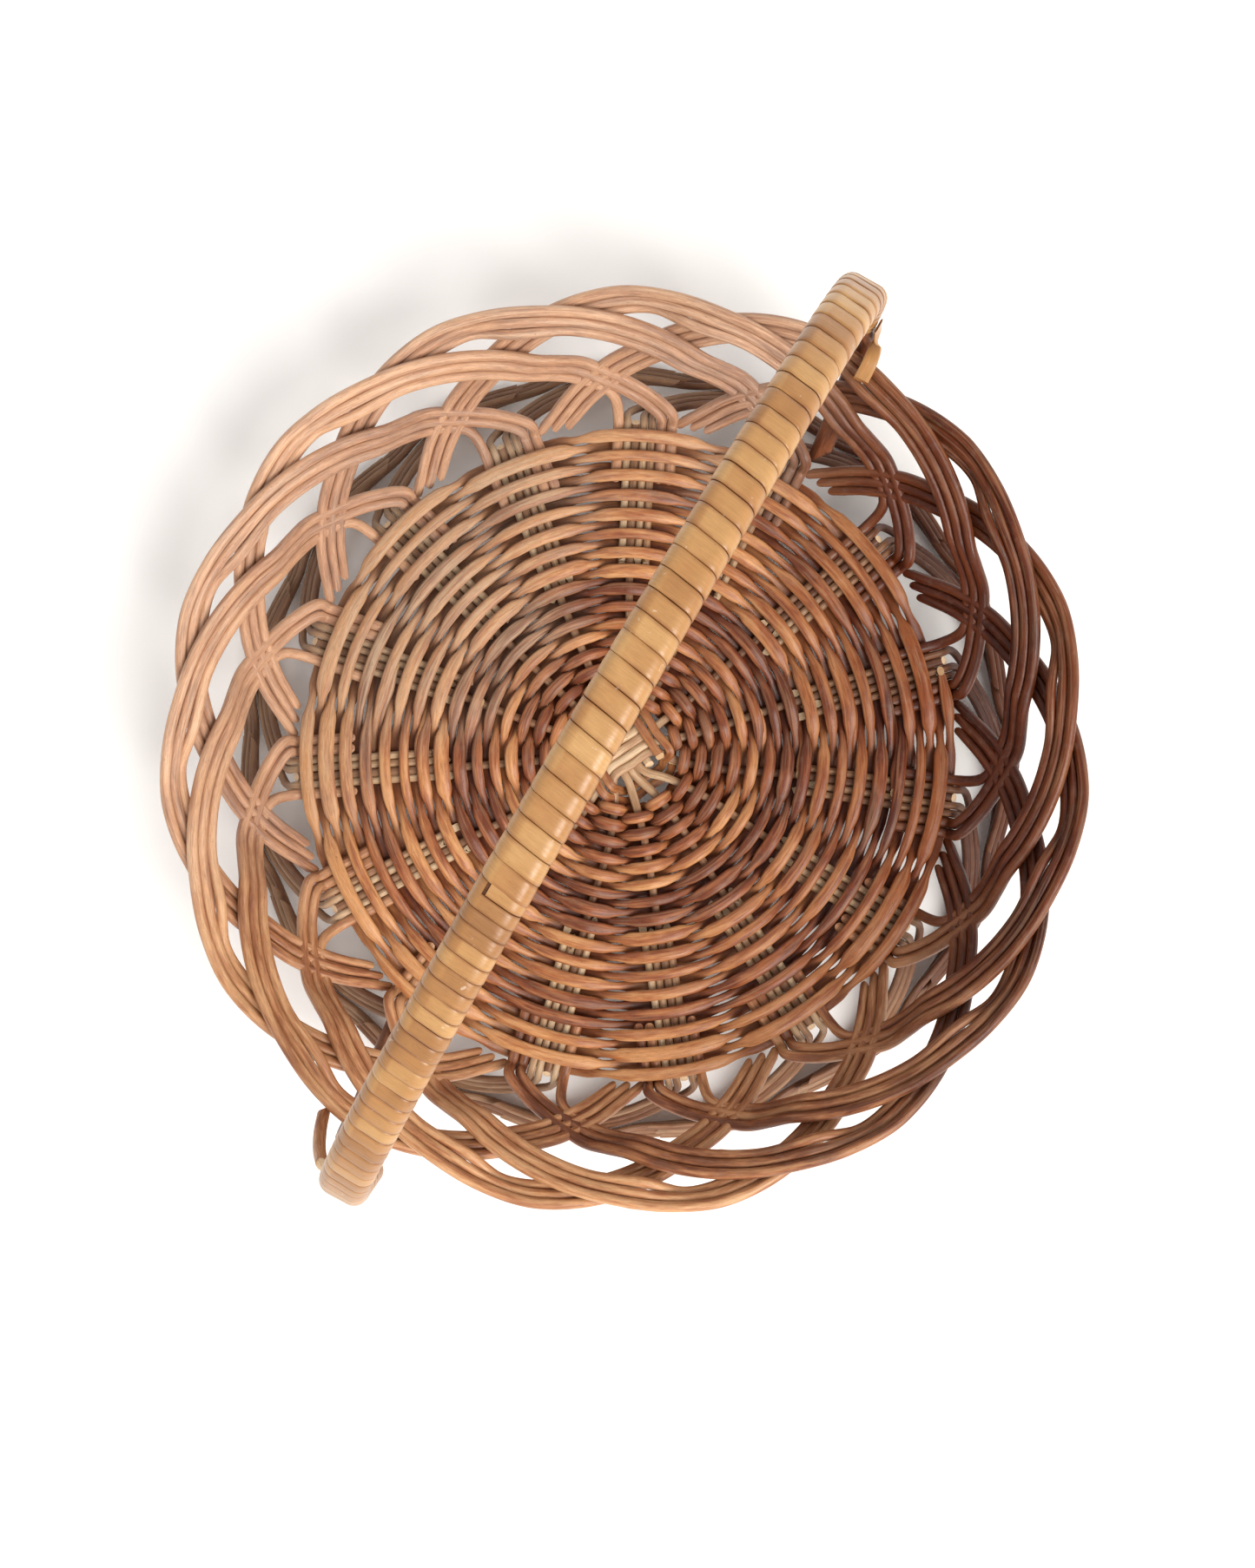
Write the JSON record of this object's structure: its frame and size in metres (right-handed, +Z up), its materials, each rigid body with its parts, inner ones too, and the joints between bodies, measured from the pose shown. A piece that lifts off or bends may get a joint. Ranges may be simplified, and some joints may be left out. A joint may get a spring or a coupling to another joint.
{
  "type": "wicker basket",
  "caption": "Round shallow willow basket with a woven base, an open scalloped border and foot, and one arched handle of paired rods wound with cane",
  "frame": {"origin": "on the surface that the basket stands on, under the middle of its box", "axes": "+X along the handle's span, towards the end that shows at the upper right; +Z up; +Y completes a right-handed set"},
  "size_m": [0.3262, 0.2999, 0.2041],
  "materials": {
    "base_stick": "dull, dusty willow with a bark sheen",
    "binding": "thin split willow, pale and glossy",
    "stake": "satin willow, pale where it is cut",
    "weaver": "satin willow, orange-brown to grey-beige, worn",
    "border_rod": "satin willow, tan to red-brown, worn on top",
    "handle_rod": "satin brown willow",
    "cane": "soft gloss, straw-gold with brown stains",
    "hook_rod": "satin brown willow"
  },
  "bodies": {
    "root": {"base_stick_1": "base_stick", "base_stick_2": "base_stick", "base_stick_3": "base_stick", "base_stick_4": "base_stick", "base_stick_5": "base_stick", "base_stick_6": "base_stick", "base_stick_7": "base_stick", "base_stick_8": "base_stick", "slath_binding": "binding", "stake_set_1": "stake", "stake_set_2": "stake", "stake_set_3": "stake", "stake_set_4": "stake", "stake_set_5": "stake", "stake_set_6": "stake", "stake_set_7": "stake", "stake_set_8": "stake", "stake_set_9": "stake", "stake_set_10": "stake", "stake_set_11": "stake", "stake_set_12": "stake", "stake_set_13": "stake", "stake_set_14": "stake", "stake_set_15": "stake", "weaver_1": "weaver", "weaver_2": "weaver", "weaver_3": "weaver", "weaver_4": "weaver", "weaver_5": "weaver", "weaver_6": "weaver", "weaver_7": "weaver", "weaver_8": "weaver", "weaver_9": "weaver", "weaver_10": "weaver", "weaver_11": "weaver", "weaver_12": "weaver", "border_scallop_1": "border_rod", "border_scallop_2": "border_rod", "border_scallop_3": "border_rod", "border_scallop_4": "border_rod", "border_scallop_5": "border_rod", "border_scallop_6": "border_rod", "border_scallop_7": "border_rod", "border_scallop_8": "border_rod", "border_scallop_9": "border_rod", "border_scallop_10": "border_rod", "border_scallop_11": "border_rod", "border_scallop_12": "border_rod", "border_scallop_13": "border_rod", "border_scallop_14": "border_rod", "border_scallop_15": "border_rod", "handle_rod_right": "handle_rod", "handle_rod_left": "handle_rod", "cane_wrap_right": "cane", "cane_wrap_left": "cane", "cane_tail": "cane", "cane_tie": "cane", "rim_hook": "hook_rod"}
  },
  "joints": []
}
